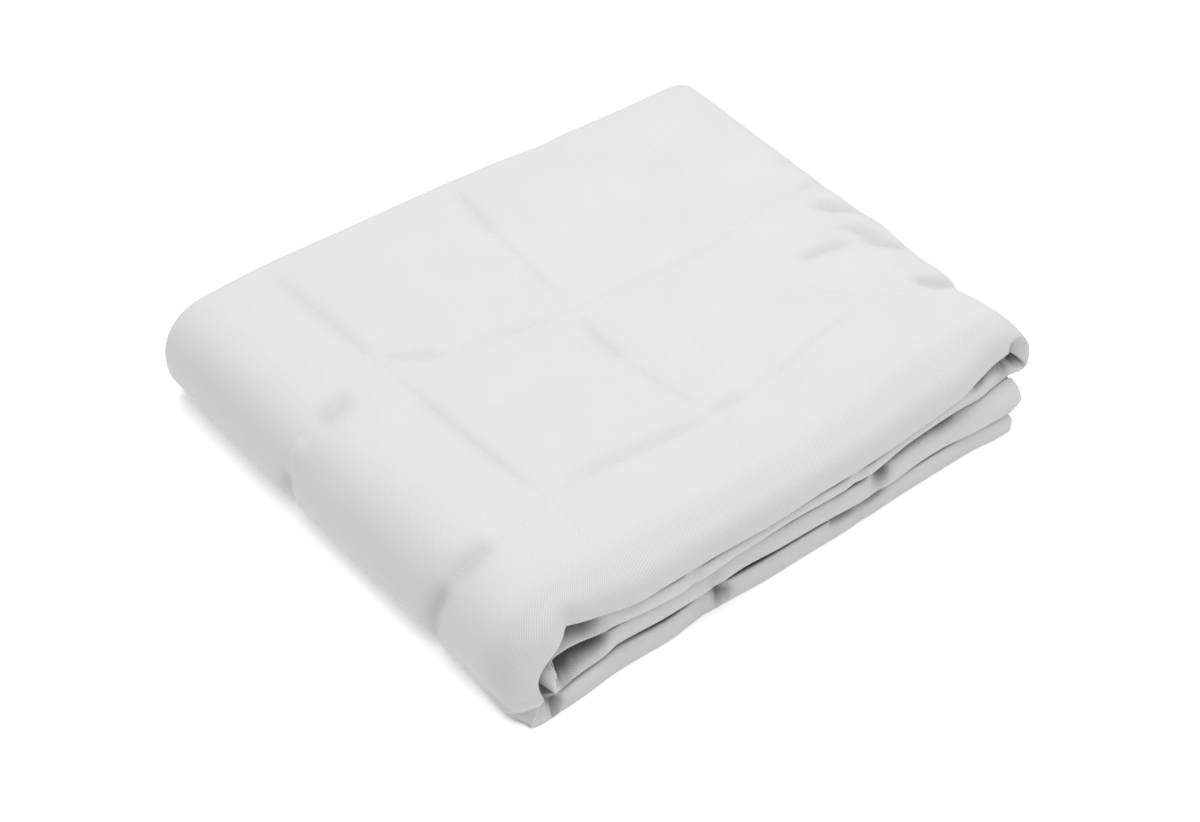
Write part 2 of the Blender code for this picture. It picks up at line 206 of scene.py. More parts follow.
DENT_RISE = (0.12, 0.2)  # and it comes as the rim's dip does

# The low front corner sticks out to the left, up to a y and a height, and from an x on.
KICK, KICK_REACH, KICK_HEIGHT = 0.009, 0.1, 0.016
KICK_FROM, KICK_EASE = 0.03, 0.015

# The free ends are rounded: how far the low and the high side of each draw in.
ENDS = {"bottom": (0.002, 0.006), "third": (0.018, 0.0)}
END_REACH = 0.022  # length over which an end is rounded
END_POWER = 2.5  # the higher it is, the squarer the end

# How far each sewn column strays in x, in millimetres, after the place along y.
STRAYS = (
    (0, -1, 0, -1), (40, 2, 4, 13), (85, 5, 8, 18), (110, 4, 1, 18), (137, 2, -4, -1),
    (180, 0, -8, -10), (222, 0, -5, -10), (275, -1, -1, 0), (330, -2, 2, 7), (392, -4, 9, 11),
)
STRAY_ENDS = (0.04, 0.44)  # nothing strays beyond these

# The side folds, in millimetres: a place along y, how far the left one moves there, how
# far its top leans in, and how far the right one moves.
SIDES = (
    (0, 4, 5, 2), (45, 2, 4.5, 5.5), (64, 0.6, 3.8, 1.6), (85, -0.8, 3.1, -3), (97, -1.4, 2.9, 1),
    (126, -2.6, 2.5, -0.2), (148, -3.6, 2.2, 1.2), (172, -4.8, 1.6, 3.3), (200, -6.2, 1, 1),
    (232, -8, 0, 1), (328, -12, -3, 1), (400, -14, -5, 3),
)
LEFT_REACH = (0.04, 0.13)  # the left move dies away from this x on, over this distance,
RIGHT_REACH = (0.37, 0.07)  # and the right one comes from this x on
LEAN_HEIGHT = 0.028  # height that the lean leaves where it is

# The stack is lower along its edges: fall, and the reach over which it falls.
FRONT_FALL = (0.008, 0.085)
BACK_FALL = (0.0015, 0.05)
END_FALL = (0.0018, 0.06)

# The right-hand fold sags from an x on, over a reach, by a share at heights in levels.
SAG, SAG_REACH = 0.008, (0.438, 0.022)
SAG_LEVELS = (1.5, 2.0, 3.0, 3.953)
SAG_SHARES = (0.0, 1.0, 1.0, 0.35)

# Creases of the outer face, in millimetres: along and y of one end and of the other, width
# and rise.  Along is the developed length: x on the top packet, and on down either fold.
CREASES = (
    (87, 396, 87, 222, 6, -1.4), (87, 225, 87, 86, 5.5, -1.2), (87, 236, 128, 234, 6, -1.5),
    (120, 233, 224, 233, 5, -0.7), (220, 396, 220, 320, 6, -1.2), (220, 345, 220, 235, 4.5, -0.5),
    (220, 228, 220, 160, 5.5, -1.4), (220, 175, 220, 84, 5, -0.7), (85, 90, 232, 90, 5.5, -1.3),
    (217, 92, 250, 88, 5, -1.4), (245, 88, 368, 88, 3, -0.4), (270, 228, 360, 228, 4, -0.5),
    (97, 166, 146, 165, 9, -0.5), (60, 231, 20, 225, 9.5, -2.8), (12, 225, -8, 229, 6, 1.8),
    (-10, 233, -56, 243, 7, -4.4), (46, 88, 0, 83, 9, -2.8), (12, 84, -62, 91, 7, -5),
    (424, 216, 454, 176, 5.8, -4.4), (420, 181, 444, 150, 5.2, -3.4),
    (424, 160, 453, 131, 5.2, -3.8), (377, 165, 424, 156, 4.8, -3), (412, 98, 464, 85, 5.6, -4.6),
    (430, 196, 442, 169, 5, 2.2), (406, 177, 431, 164, 5, 1.8), (421, 129, 443, 110, 8, 2.2),
    (426, 268, 470, 258, 6, -0.9), (425, 232, 465, 231, 4.5, -0.9), (430, 212, 470, 210, 7, 1),
)

# ---------- how fine it is

TURNS = (5, 14, 26, 36, 45, 53, 60, 66.5, 72, 77, 81, 84.5, 87, 88.7, 89.6)  # of the nose
SHOW_POINTS, TUCK_POINTS, BACK_POINTS = 136, 16, 9
FINE_FRONT = 0.034  # the ply that shows keeps all its points up to this y
SPARSE, INSIDE_SPARSE = 9, 3  # and one in so many behind it, and inside
FINE_STATIONS = (1.2, 3.45)  # but all of them between these

# ---------- stitches

SEAM_NEAR = 0.003  # a rib this near to a column can carry its stitches
STITCH_RINGS, STITCH_SIDES = 5, 6
STITCH_TIP = 0.15  # radius at the tips of a stitch, as a share
STITCH_BOW, STITCH_SINK = 1.1, 0.5  # its bow, and how deep it lies, in radii

# ---------- studio

LENS, SENSOR = 69.0, 36.0
PICTURE_SHIFT = (-7 / 1200, -44 / 1200)  # pixels over the picture's width
AZIMUTH = math.radians(-37.49)
ELEVATION = math.radians(42.45)
DISTANCE = 1.601
AIM = (-0.00071, 0.00294, 0.03775)
FLOOR = ((-6, -6, 0), (6, -6, 0), (6, 6, 0), (-6, 6, 0))
FLOOR_LIGHT = (1.0, 0.985, 0.97, 1.0)
SKY_COLOUR = (0.985, 0.965, 1.0, 1.0)
TOP_PANEL = (0.15, 0.2, 1.87), 2.2  # where it is, and how wide
SIDE_PANEL = (-0.1, -1.58, 0.45), 1.6


# ---------- small formulas

def smooth(value):
    """Zero up to 0, one from 1, and an even ease between: 3 t squared less 2 t cubed."""
    value = np.clip(value, 0.0, 1.0)
    return value * value * (3.0 - 2.0 * value)


def ease(value, start, reach):
    """The same even ease from a start, whole at a reach past it."""
    return smooth((value - start) / reach)


def bell(value):
    """One at 0, dying away on both sides: e to the power of minus the square."""
    return np.exp(-value ** 2)


def unit(vectors):
    """Vectors of length 1: each is divided by its length."""
    return vectors / np.maximum(np.linalg.norm(vectors, axis=-1, keepdims=True), 1e-12)


def nearest(places, marks):
    """Distance from each place to the nearest of the marks, FAR if there are none."""
    return np.min([np.full(len(places), FAR)] + [np.abs(places - mark) for mark in marks], axis=0)


def between(value, low, high):
    """Whether a value lies between two others."""
    return (value > low) & (value < high)


def curve(at, knots, values):
    """A smooth curve through the knots, and level beyond them.

    Each stretch is a cubic whose slope at a knot is the mean of the straight slopes on
    either side of it.
    """
    knots, values = np.asarray(knots, dtype=float), np.asarray(values, dtype=float)
    step = np.diff(knots)
    rise = np.diff(values) / step
    slope = np.concatenate((rise[:1], (rise[1:] + rise[:-1]) / 2, rise[-1:]))
    cell = np.clip(np.searchsorted(knots, at, side="right") - 1, 0, len(step) - 1)
    span = step[cell]
    t = np.clip((at - knots[cell]) / span, 0.0, 1.0)
    bend = span * (slope[cell] * t * (1 - t) ** 2 - slope[cell + 1] * t * t * (1 - t))
    return values[cell] + (values[cell + 1] - values[cell]) * smooth(t) + bend


def table_curve(at, table):
    """The curve through a table's pairs, which are in millimetres."""
    return curve(at, *(np.array(table).T / MM))


def spaced(start, end, count, centres, gain=2.5, reach=0.007):
    """Count places from start to end, closer together near the centres.

    Their density is one plus gain times a bell about each centre.
    """
    fine = np.linspace(start, end, 2000)
    density = 1 + gain * sum(bell((fine - centre) / reach) for centre in centres)
    area = np.concatenate(([0.0], np.cumsum((density[1:] + density[:-1]) / 2)))
    return np.interp(np.linspace(0.0, area[-1], count), area, fine)


def run_lengths(points):
    """Length along each chain of points, from its first: the sum of the steps so far."""
    steps = np.linalg.norm(np.diff(points, axis=-2), axis=-1)
    return np.concatenate((np.zeros_like(steps[..., :1]), np.cumsum(steps, axis=-1)), axis=-1)


def beside(u, v, u_start, v_start, u_end, v_end):
    """Share of the way along a line from start to end, and the distance from the line."""
    du, dv = u_end - u_start, v_end - v_start
    share = ((u - u_start) * du + (v - v_start) * dv) / (du * du + dv * dv)
    share = np.clip(share, 0.0, 1.0)
    return share, np.hypot(u - u_start - share * du, v - v_start - share * dv)


def packet_height(cloth):
    """Height of a packet: three plies and the two gaps between them."""
    return 3 * cloth.ply + 2 * PLY_GAP


# ---------- the folded length

def turn(start, tip, end, eye, full, share):
    """Outline of a fold from start over its tip to end.

    Two quarters of a superellipse, the upper one with the exponent full, meet at the tip,
    and the eye swells each of them halfway.
    """
    angle = math.pi * (share - 0.5)
    first = (angle < 0)[:, None]
    base = np.where(first, start, end)
    power = 2 / np.where(first == (start[1] < end[1]), ROUNDNESS, full)
    c = np.cos(angle)[:, None] ** power
    s = np.abs(np.sin(angle))[:, None] ** power
    height = base[:, 1:] - tip[1]
    return np.concatenate((base[:, :1] + (tip[0] - base[:, :1]) * c,
                           tip[1] + height * s + np.sign(height) * 2 * eye * c * s), axis=1)


def rib_rows(count, **columns):
    """Columns with a row for each rib, in which a lone number is the same for all."""
    return {name: np.reshape(value, (count, -1)) if np.ndim(value) else np.full((count, 1), value)
            for name, value in columns.items()}


def length_ribs(cloth):
    """Ribs of the whole length, as arrays with a row for each.

    outer and tuck are the (x, z) of a packet's two faces, lines the y of its edges and rows,
    station the place in the order of runs and folds, seam and free the distances to the
    nearest sewn column and to a free end, and pillow the share of a pocket's rise.
    """
    packet = packet_height(cloth)
    level = packet + PACKET_GAP
    parts = []
    for number, run in enumerate(RUNS):
        free_end = {0: (run.start,), len(RUNS) - 1: (run.end,)}.get(number, ())
        places = spaced(run.start, run.end, run.ribs, run.seams + free_end)
        faces = {name: np.stack((places, 0 * places + run.level * level + packet * (run.up == up)),
                                axis=1) for name, up in (("outer", 1), ("tuck", -1))}
        low_end, high_end = ENDS.get(run.name, (0.0, 0.0))
        parts.append(rib_rows(
            run.ribs, **faces, lines=run_lines(run, places),
            station=2 * number + (places - run.start) / (run.end - run.start),
            seam=nearest(places, run.seams), free=nearest(places, free_end), pull=run.pull,
            pillow=float(run.name == "top"), low_end=low_end, high_end=high_end))
    joined = [parts[0]]
    for number, fold in enumerate(FOLDS):
        joined += [fold_ribs(fold, number, parts[number], parts[number + 1], level),
                   parts[number + 1]]
    return SimpleNamespace(**{name: np.concatenate([part[name] for part in joined])
                              for name in parts[0]})


def run_lines(run, places):
    """The y of the front lip, of the two sewn rows and of the back edge at places in x."""
    rows = [np.full(len(places), row) for row in ROWS]
    if run.name == "top":
        rows = [table_curve(places, row) for row in TOP_ROWS]
    return np.stack((table_curve(places, FRONTS[run.name]), *rows,
                     table_curve(places, BACKS[run.name])), axis=1)


def fold_ribs(fold, number, before, after, level):
    """Ribs of a fold, between the last rib of one run and the first of the next."""
    share = np.arange(1, fold.ribs + 1) / (fold.ribs + 1)
    start, end = before["lines"][-1], after["lines"][0]
    lines = start + (end - start) * share[:, None]
    front = [(0.0, start[0]), *((at, y / MM) for at, y in FOLD_FRONTS[number]), (1.0, end[0])]
    lines[:, 0] = curve(share, *zip(*front))
    rises = {1: smooth(share / PILLOW_IN), -1: 1 - smooth(share / PILLOW_OUT), 0: 0.0}
    faces = {name: turn(before[name][-1], (x, z * level), after[name][0], eye, full, share)
             for name, (x, z, full, eye) in (("outer", fold.outer), ("tuck", fold.tuck))}
    return rib_rows(fold.ribs, **faces, lines=lines, station=2 * number + 1 + share,
                    seam=FAR, free=FAR, pull=0.0, pillow=rises[fold.pillow],
                    low_end=0.0, high_end=0.0)


# ---------- the folded width

P2, NOSE_ARC, P1, BACK_ARC, P3 = range(5)


def width_section(cloth):
    """The section of a packet from hem to hem, as arrays with a value for each point.

    ply is the stretch it is on, y and n the place of the outer face, y_in and n_in that of
    the inner one, angle the turn round the nose, and free the distance to the hem.  coarse
    marks the points that hidden stretches keep, and inside those that the inner face keeps.
    """
    ply, packet = cloth.ply, packet_height(cloth)
    half_gap, back_hem = PLY_GAP / 2, DEPTH - TUCK_SHORT
    back_start, inner_z = DEPTH - ply - half_gap, packet - ply - half_gap
    hem_spacing = {"gain": 12.0, "reach": 0.008}
    tuck_y = spaced(back_hem, NOSE, TUCK_POINTS, (back_hem,), **hem_spacing)
    last_y = spaced(back_start, NOSE, TUCK_POINTS, (NOSE,), **hem_spacing)
    show_y = spaced(NOSE, back_start, SHOW_POINTS, (NOSE, 0.03, *ROWS, back_start))
    nose = np.radians([*(-angle for angle in TURNS[::-1]), 0, *TURNS])
    back = np.radians(np.linspace(90, -90, BACK_POINTS))[1:-1]
    pieces = (
        (P2, tuck_y, 0, tuck_y, ply, 0, back_hem - tuck_y),
        (NOSE_ARC, 0, 0, 0, 0, nose, FAR),
        (P1, show_y, packet, show_y, packet - ply, 0, FAR),
        (BACK_ARC, back_start + (ply + half_gap) * np.cos(back),
         inner_z + (ply + half_gap) * np.sin(back),
         back_start + half_gap * np.cos(back), inner_z + half_gap * np.sin(back), 0, FAR),
        (P3, last_y, ply + PLY_GAP, last_y, 2 * ply + PLY_GAP, 0, last_y - NOSE),
    )
    columns = zip(*(np.broadcast_arrays(*piece) for piece in pieces))
    section = SimpleNamespace(**dict(zip("ply y n y_in n_in angle free".split(),
                                         map(np.concatenate, columns))))
    shown = np.flatnonzero(section.ply == P1)
    one_in = np.arange(len(section.y)) % SPARSE == 0
    section.coarse = (section.ply != P1) | one_in | (section.y < FINE_FRONT)
    section.coarse[shown[[0, -1]]] = True
    section.inside = np.zeros_like(section.coarse)
    section.inside[np.flatnonzero(section.coarse)[::INSIDE_SPARSE]] = True
    section.inside[[0, -1]] = True
    return section


def shown_point(section, y):
    """Number of the point nearest to y on the ply that shows."""
    shown = np.flatnonzero(section.ply == P1)
    return shown[np.argmin(np.abs(section.y[shown] - y))]


def nose_outline(angle, ridge, lip, depth, low, high):
    """Outline of the front edge: a superellipse quarter above its lip and one below.

    ridge is the lip's height between low and high, and its far and near fullness are the
    exponents.  It returns the depth behind the lip and the height.
    """
    power = 2 / np.where((angle < 0) == (lip.side > 0), lip.near, lip.far)
    c = np.abs(np.cos(angle)) ** power
    s = np.abs(np.sin(angle)) ** power
    reach = np.where(angle < 0, ridge - low, high - ridge)
    return depth * (1 - c), ridge + np.sign(angle) * reach * s


def hem_thickness(distance, ply):
    """Share of the ply at a distance from its edge: an ease to the hem, then a quarter round."""
    hem = HEM / ply + (1 - HEM / ply) * ease(distance, HEM_ROUND, HEM_LENGTH)
    into = np.clip(distance / HEM_ROUND, 0.0, 1.0)
    return hem * (HEM_END + (1 - HEM_END) * np.sqrt(np.clip(1 - (1 - into) ** 2, 0.0, 1.0)))


# ---------- the lie of the stack

def stretch(y, lines):
    """Take y from the drawn-up packet to its lines, evenly between them."""
    drawn = (0.0, *ROWS, DEPTH)
    placed = lines[:, :1] + np.minimum(y, 0.0) + np.maximum(y - DEPTH, 0.0)
    for place, (start, end) in enumerate(zip(drawn, drawn[1:])):
        share = np.clip((y - start) / (end - start), 0.0, 1.0)
        placed = placed + share * (lines[:, place + 1] - lines[:, place])[:, None]
    return placed


def settle(x, y, z, cloth):
    """The lie of the stack: it moves points by the strays, presses, sides, falls and sag."""
    level = packet_height(cloth) + PACKET_GAP
    stack = 4 * level - PACKET_GAP
    at, *strays = np.array(STRAYS).T / MM
    knots = (STRAY_ENDS[0], *COLUMNS, STRAY_ENDS[1])
    still = np.zeros_like(y)
    moves = (still, *(curve(y, at, stray) for stray in strays), still)
    moved = x.copy()
    for left, right, move, next_move in zip(knots, knots[1:], moves, moves[1:]):
        share = (x - left) / (right - left)
        moved += np.where((x >= left) & (x < right), move + (next_move - move) * share, 0.0)

    at, *presses = np.array(PRESSES).T / MM
    hats = (np.clip(1 - np.abs(z / level - boundary), 0.0, 1.0) for boundary in (1, 2, 3))
    pressed = sum(hat * curve(x, at, press) for hat, press in zip(hats, presses))
    z = z + (1 - smooth(y / PRESS_REACH)) * pressed

    at, left, lean, right = np.array(SIDES).T / MM
    leaned = curve(y, at, lean) * (z - LEAN_HEIGHT) / (stack - LEAN_HEIGHT)
    moved += (1 - ease(x, *LEFT_REACH)) * (curve(y, at, left) + leaned)
    moved += ease(x, *RIGHT_REACH) * curve(y, at, right)

    edges = ((FRONT_FALL, y), (BACK_FALL, DEPTH - y), (END_FALL, FOLDS[1].outer[0] - x))
    fall = sum(fall * (1 - smooth(inward / reach)) for (fall, reach), inward in edges)
    sunk = SAG * ease(x, *SAG_REACH) * np.interp(z / level, SAG_LEVELS, SAG_SHARES)
    return np.stack((moved, y, np.maximum(z * (1 - fall / stack) - sunk, 0.0)), axis=-1)


def kick(x, y, z, outer):
    """How far the low front corner sticks out: even eases in x, y and z, times outer."""
    near = smooth(1 - y / KICK_REACH) * smooth(1 - z / KICK_HEIGHT)
    return KICK * outer * near * smooth((KICK_FROM - x) / KICK_EASE)


def crease_relief(along, y):
    """Sum of the creases: each is a bell across its line, which eases off at its ends."""
    relief = 0.0
    for *line, wide, rise in np.array(CREASES) / MM:
        t, off = beside(along, y, *line)
        relief = relief + rise * smooth(t * 3) * smooth((1 - t) * 3) * bell(off / wide)
    return relief


def dented(x, z, station, height):
    """Depth of the dents: bells of the distance from their lines, eased off beside the run."""
    depth = 0.0
    for run, *measures in DENTS:
        *line, wide, deep = np.array(measures) / MM
        _, off = beside(x, z, *line)
        beyond = np.abs(station - 2 * run - 0.5) - 0.5
        depth = depth + deep * bell(off / wide) * (1 - smooth(beyond / DENT_FADE))
    return depth * ease(height, *DENT_RISE)


def quilted(cloth, ribs, section, along):
    """How far the quilting raises the outer face, and the creases' part in that.

    A pocket rises from its seams as one less e to the power of minus the distance over
    its reach, and a seam sinks the cloth by a bell of the distance from it.
    """
    showing = (section.ply == P1).astype(float)
    to_row = nearest(section.y, ROWS)
    to_edge = np.clip(DEPTH - section.y, 0.0, 1.0)
    crown = 1 - np.exp(-np.minimum(np.minimum(to_row, ribs.seam), to_edge) / cloth.pillow_reach)
    pillow = cloth.pillow * crown * ease(section.y, NOSE, POCKET_EASE) * ribs.pillow * showing
    groove = np.maximum(bell(ribs.seam / cloth.groove_half),
                        bell(to_row / cloth.groove_half) * showing)
    creases = crease_relief(along, section.y) * showing * ribs.pillow
    groove = cloth.groove * groove * (showing + (section.ply == NOSE_ARC))
    return pillow + creases - groove, creases


def slot_painted_shade(station, lip, depth, height):
    """How deep between two folds a point of the front edge is, from 0 to 1: the painted shade
    there.

    That is behind the rim and just under the lip, but at the right only high and deep in.
    """
    slot = ease(depth, *SLOT_DEPTH) * ease(height, *SLOT_RISE) * np.clip(lip.rim / SLOT_RIM, 0, 1)
    under = ease(depth, *UNDER_DEPTH) * (height < UNDER_TOP)
    slit = ease(height, *SLIT_RISE) * ease(depth, *SLIT_DEPTH) * between(station, *SLIT)
    return np.maximum(slot, np.where(between(station, *BARE), slit, under))


def face_points(cloth, ribs, section, lip, relief, creases, outer):
    """One face of the cloth, as ribs by section points, and the painted shade of its hollows.

    A point's y and its height n in the packet come from the section, and on the nose from
    the lip.  The relief raises it, the rim's dip lowers it, the lip shears it out, and the
    height then places it between the rib's two (x, z) points.
    """
    packet = packet_height(cloth)
    thin = hem_thickness(np.minimum(section.free, ribs.free), cloth.ply)
    y, n = ((a + b) / 2 + ((a if outer else b) - (a + b) / 2) * thin
            for a, b in ((section.y, section.y_in), (section.n, section.n_in)))
    inset, deep = (0.0, 0.0) if outer else (cloth.ply, NOSE_PLY)
    ridge = packet / 2 - (0.5 - LIP_OFF) * lip.side * (packet - 2 * inset)
    on_nose = section.ply == NOSE_ARC
    nose_y, n[:, on_nose] = nose_outline(section.angle[on_nose], ridge, lip, NOSE - deep,
                                         inset, packet - inset)
    y[:, on_nose] = nose_y + deep
    n = n + relief * (n > packet / 2)
    dip = np.sin(math.pi * np.clip((y - RIM_START) / (RIM_END - RIM_START), 0.0, 1.0))
    height = np.where(lip.side > 0, n / packet, 1 - n / packet)
    n = n - lip.side * lip.rim * dip * ease(height, *RIM_RISE) * on_nose

    share = n / packet
    height = np.where(lip.side > 0, share, 1 - share)
    depth = y
    drawn = ribs.pull * bell(ribs.seam / cloth.pucker)
    pushed = (lip.hollow + drawn) * ease(height, LIP_OFF, HOLLOW_RISE)
    lean = lip.droop * (lip.side * (2 * share - 1) + lip.side ** 2 * (1 - 2 * LIP_OFF))
    y = (y + (1 - ease(y, NOSE, DROOP_REACH)) * lean
         + pushed * (1 - smooth(y / HOLLOW_REACH)) + PULL_ALL * drawn)
    across = ribs.outer - ribs.tuck
    x, z = (ribs.tuck[:, [axis]] + across[:, [axis]] * share for axis in (0, 1))
    dent = (1 - smooth(y / DENT_REACH)) * dented(x, z, ribs.station, height)
    y = stretch(y, ribs.lines) + dent
    tilt = (2 * share - 1) * np.sign(across[:, 1:])
    drawn_in = np.where(tilt < 0, ribs.low_end, ribs.high_end) * np.abs(tilt) ** END_POWER
    x = x - smooth(1 - ribs.free / END_REACH) * drawn_in
    x = x - kick(x, y, z, share) * (ribs.station > 1.0)

    # painted shade put into the colour: between folds, under lips, inside dents and in creases
    tone = np.where(on_nose, slot_painted_shade(ribs.station, lip, depth, height), 0.0)
    tone = np.maximum(tone, np.clip(dent / DENT_SHADE_DEPTH, 0.0, 1.0))
    tone = np.maximum(tone, np.clip(-creases / CREASE_DEPTH, 0.0, CREASE_SHADE_MAX))
    return settle(x, y, z, cloth) - ORIGIN, tone


def cloth_points(cloth):
    """The two faces of the cloth, the painted shade of their hollows, and what maps them."""
    ribs, section = length_ribs(cloth), width_section(cloth)
    along = run_lengths(ribs.outer)
    along += RUNS[1].start - along[np.argmax(ribs.station >= 2.0)]
    station, *columns = (np.array(LIPS) / (1, 1, MM, 1, 1, MM, MM)).T
    lip = Lip(*(np.interp(ribs.station, station, column) for column in columns))
    relief, creases = quilted(cloth, ribs, section, along[:, None])
    faces, painted_shade_maps = zip(face_points(cloth, ribs, section, lip, relief, creases, True),
                       face_points(cloth, ribs, section, lip, 0.0, 0.0, False))
    return faces, painted_shade_maps, ribs, section, along


# ---------- meshes

def ringed(outer, inner):
    """Rings that go along the outer face and back along the inner one."""
    return np.concatenate((outer, inner[:, ::-1]), axis=1)


def around(index):
    """The cells between rings that close on themselves, from the numbers of their points."""
    after = np.roll(index, -1, axis=1)
    return np.stack((index[:-1], after[:-1], after[1:], index[1:]), axis=-1).reshape(-1, 4)


def grid_mesh(name, rings, keep, uv, painted_shade_maps):
    """One closed mesh from rings of points, whose first and last are capped.

    A point that isn't kept is merged into the last kept one before it, and a cell that
    this flattens becomes a triangle or goes.
    """
    count, ring = rings.shape[:2]
    kept = np.maximum.accumulate(np.where(keep, np.arange(ring), 0), axis=1)
    index = np.arange(count)[:, None] * ring + kept
    cells = [around(index)]
    for rib, flip in ((0, 1), (-1, -1)):
        out, back = index[rib, :ring // 2], index[rib, ring // 2:][::-1]
        cells.append(np.stack((out[:-1], back[:-1], back[1:], out[1:]), axis=-1)[:, ::flip])
    facing_out = np.concatenate(cells)[:, (0, 3, 2, 1)]
    used, cells = np.unique(facing_out, return_inverse=True)
    faces = [tuple(dict.fromkeys(cell)) for cell in cells.reshape(-1, 4).tolist()]
    mesh = bpy.data.meshes.new(name)
    mesh.from_pydata(rings.reshape(-1, 3)[used].tolist(), [],
                     [face for face in faces if len(face) > 2])
    corner = np.empty(len(mesh.loops), dtype=np.int32)
    mesh.loops.foreach_get("vertex_index", corner)
    layer = mesh.uv_layers.new(name="Cloth")
    layer.data.foreach_set("uv", uv.reshape(-1, 2)[used][corner].ravel().astype(np.float32))
    for tone, values in painted_shade_maps.items():
        layer = mesh.attributes.new(tone, "FLOAT", "POINT")
        layer.data.foreach_set("value", values.reshape(-1)[used].astype(np.float32))
    mesh.shade_smooth()
    return mesh


def cloth_mesh(cloth):
    """The cloth's two faces as one mesh, mapped by their length along x and the section."""
    faces, painted_shade_maps, ribs, section, along = cloth_points(cloth)
    shape = painted_shade_maps[0].shape
    fine = between(ribs.station, *FINE_STATIONS)
    keep = ringed(fine | section.coarse, np.broadcast_to(section.inside, shape))
    map_v = run_lengths(faces[0])
    map_v = map_v - map_v[:, [shown_point(section, DEPTH / 2)]]
    uv = np.stack((np.broadcast_to(along[:, None], shape), map_v), axis=-1)
    # hollow carries the painted shade between folds, in dents and in creases; edge marks where the
    # twill's furrows get painted shade near the front edge
    edge = np.broadcast_to(1 - ease(section.y, NOSE, FURROW_SHADE_REACH), shape)
    return grid_mesh("quilted_cloth", ringed(*faces), keep, ringed(uv, uv),
                     {"hollow": ringed(*painted_shade_maps), "edge": ringed(edge, edge)})


def seam_chains(cloth):
    """Points along each sewn row and column on the outer face, and the outward there."""
    (outer, inner), _, ribs, section, _ = cloth_points(cloth)
    normal = unit(np.cross(np.gradient(outer, axis=0), np.gradient(outer, axis=1)))
    normal *= -np.sign(np.einsum("ijk,ijk->ij", normal, inner - outer))[..., None]
    rows = [shown_point(section, row) for row in ROWS]
    show = np.flatnonzero((section.ply == P1) | (section.ply == NOSE_ARC))
    seam = ribs.seam[:, 0]
    least = (seam[1:-1] <= seam[:-2]) & (seam[1:-1] < seam[2:]) & (seam[1:-1] < SEAM_NEAR)
    return ([(outer[:, row], normal[:, row]) for row in rows]
            + [(outer[rib, show], normal[rib, show]) for rib in np.flatnonzero(least) + 1])


def stitch_mesh(cloth, sewing):
    """Stitches along the sewn rows and columns, as one mesh.

    A stitch is a chain of rings, whose radius swells as a half circle does along it, and
    which are lifted by its own bow.
    """
    t = np.linspace(0.0, 1.0, STITCH_RINGS)
    swell = STITCH_TIP + (1 - STITCH_TIP) * np.sqrt(np.clip(1 - (2 * t - 1) ** 2, 0.0, 1.0))
    swell = swell[None, :, None]
    turned = np.linspace(0, 2 * math.pi, STITCH_SIDES, endpoint=False)[:, None]
    radius = sewing.thread / 2
    points = []
    for line, outward in seam_chains(cloth):
        length = run_lengths(line)
        count = int(length[-1] / (sewing.stitch + sewing.gap))
        first = (np.arange(count) + 0.5) * length[-1] / count - sewing.stitch / 2
        at = first[:, None] + sewing.stitch * t
        centre, lift = (np.stack([np.interp(at, length, column) for column in chain.T], axis=-1)
                        for chain in (line, outward))
        lift = unit(lift)
        across = unit(np.cross(lift, unit(centre[:, -1:] - centre[:, :1])))
        middle = centre + lift * radius * (STITCH_BOW * swell - STITCH_SINK)
        ring = across[:, :, None] * np.cos(turned) + lift[:, :, None] * np.sin(turned)
        points.append((middle[:, :, None] + ring * radius * swell[..., None]).reshape(-1, 3))
    points = np.concatenate(points)

    each = STITCH_RINGS * STITCH_SIDES
    ends = np.array(((0, 5, 4, 1), (1, 4, 3, 2)))
    one = np.concatenate((around(np.arange(each).reshape(-1, STITCH_SIDES)), ends,
                          ends[:, ::-1] + each - STITCH_SIDES))
    starts = np.arange(0, len(points), each)
    mesh = bpy.data.meshes.new("quilting_stitches")
    mesh.from_pydata(points.tolist(), [], (starts[:, None, None] + one).reshape(-1, 4).tolist())
    mesh.shade_smooth()
    return mesh


def add_piece(mesh, material):
    """Put a mesh in the scene with its material, instead of an earlier one of its name."""
    old = bpy.data.objects.get(mesh.name)
    if old is not None:
        bpy.data.objects.remove(old)
    if not len(mesh.polygons):
        raise RuntimeError(f"{mesh.name} came out empty")
    piece = bpy.data.objects.new(mesh.name, mesh)
    mesh.materials.append(material)
    bpy.context.scene.collection.objects.link(piece)
    return piece


# ---------- materials

def new_material(name):
    """A material with nodes, and its node tree."""
    material = bpy.data.materials.new(name)
    material.use_nodes = True
    return material, material.node_tree


def fill(tree, node, inputs):
    """Give each of a node's inputs its value, or link it to the socket that it reads."""
    for name, value in inputs.items():
        if isinstance(value, bpy.types.NodeSocket):
            tree.links.new(value, node.inputs[name])
        else:
            node.inputs[name].default_value = value


def add_node(tree, kind, output, inputs, **settings):
    """Add a shader node with its settings and its inputs, and return one of its outputs."""
    node = tree.nodes.new("ShaderNode" + kind)
    for name, value in settings.items():
        setattr(node, name, value)
    fill(tree, node, inputs)
    return node.outputs[output]


def shade(colour, factor):
    """A colour made lighter or darker, with its alpha."""
    return (*(min(1.0, channel * factor) for channel in colour), 1.0)


def mottled(tree, colour, dark, light, noise):
    """A colour that a noise takes between a darker and a lighter share of itself."""
    return add_node(tree, "Mix", "Result", {
        "Factor": add_node(tree, "TexNoise", "Fac", noise),
        "A": shade(colour, dark), "B": shade(colour, light)}, data_type="RGBA")


def multiplied(tree, factor, colour, tone):
    """A colour times a tone, as far as the factor says."""
    return add_node(tree, "Mix", "Result", {"Factor": factor, "A": colour, "B": tone},
                    data_type="RGBA", blend_type="MULTIPLY")


def by_attribute(tree, name, low, high):
    """A value that goes from low to high as the mesh's attribute goes from 0 to 1."""
    share = add_node(tree, "Attribute", "Fac", {}, attribute_name=name)
    return add_node(tree, "MapRange", "Result", {"Value": share, "To Min": low, "To Max": high})


